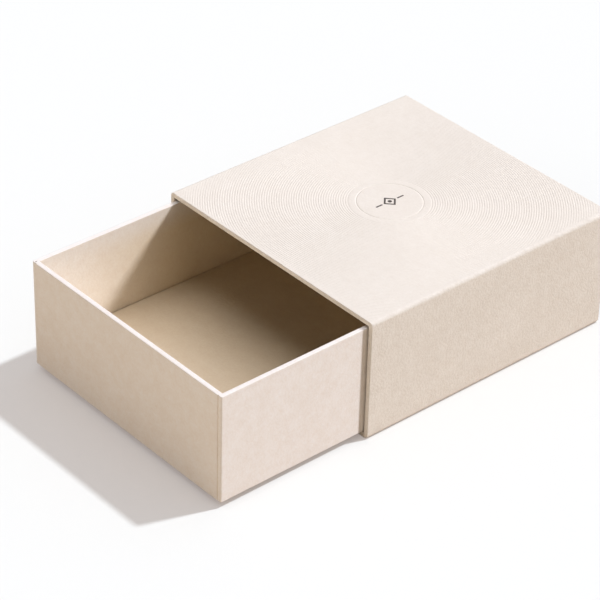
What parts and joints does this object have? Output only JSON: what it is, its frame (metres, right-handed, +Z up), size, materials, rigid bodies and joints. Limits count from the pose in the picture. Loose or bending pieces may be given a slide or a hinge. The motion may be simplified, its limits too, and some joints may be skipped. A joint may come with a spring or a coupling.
{
  "type": "drawer gift box",
  "caption": "Rigid paper-covered gift box: an open-topped drawer slides in a sleeve open at both ends, with a ring pressed into the sleeve's top.",
  "frame": {"origin": "middle of the sleeve's underside, on the surface that the box stands on", "axes": "+Z up, -Y the way the drawer comes out, +X to the right seen from the drawer's front"},
  "size_m": [0.18, 0.295, 0.08],
  "materials": {
    "cover_paper": "matte blush-white wrapping paper with a fine felt-marked surface",
    "drawer_paper": "matte off-white wrapping paper, smoother and a shade lighter than the cover paper",
    "lining_paper": "matte brown lining paper inside the sleeve",
    "greyboard": "bare grey-brown board",
    "gummed_stay": "gummed kraft paper tape"
  },
  "bodies": {
    "sleeve": {"sleeve_top_board": "greyboard", "sleeve_base_board": "greyboard", "sleeve_left_board": "greyboard", "sleeve_right_board": "greyboard", "sleeve_corner_stays": "gummed_stay", "sleeve_wrap": "cover_paper", "sleeve_base_sheet": "cover_paper", "sleeve_liner": "lining_paper"},
    "drawer": {"drawer_base_board": "greyboard", "drawer_front_board": "greyboard", "drawer_back_board": "greyboard", "drawer_left_board": "greyboard", "drawer_right_board": "greyboard", "drawer_corner_stays": "gummed_stay", "drawer_wrap": "drawer_paper", "floor_riser_left": "greyboard", "floor_riser_right": "greyboard", "floor_riser_front": "greyboard", "floor_riser_middle": "greyboard", "floor_riser_back": "greyboard", "floor_card": "greyboard", "floor_card_wrap": "drawer_paper"}
  },
  "joints": [
    {"name": "drawer_slide", "type": "slide", "parent": "sleeve", "child": "drawer", "axis": [0, -1, 0], "range_m": [-0.105, 0.075]}
  ]
}
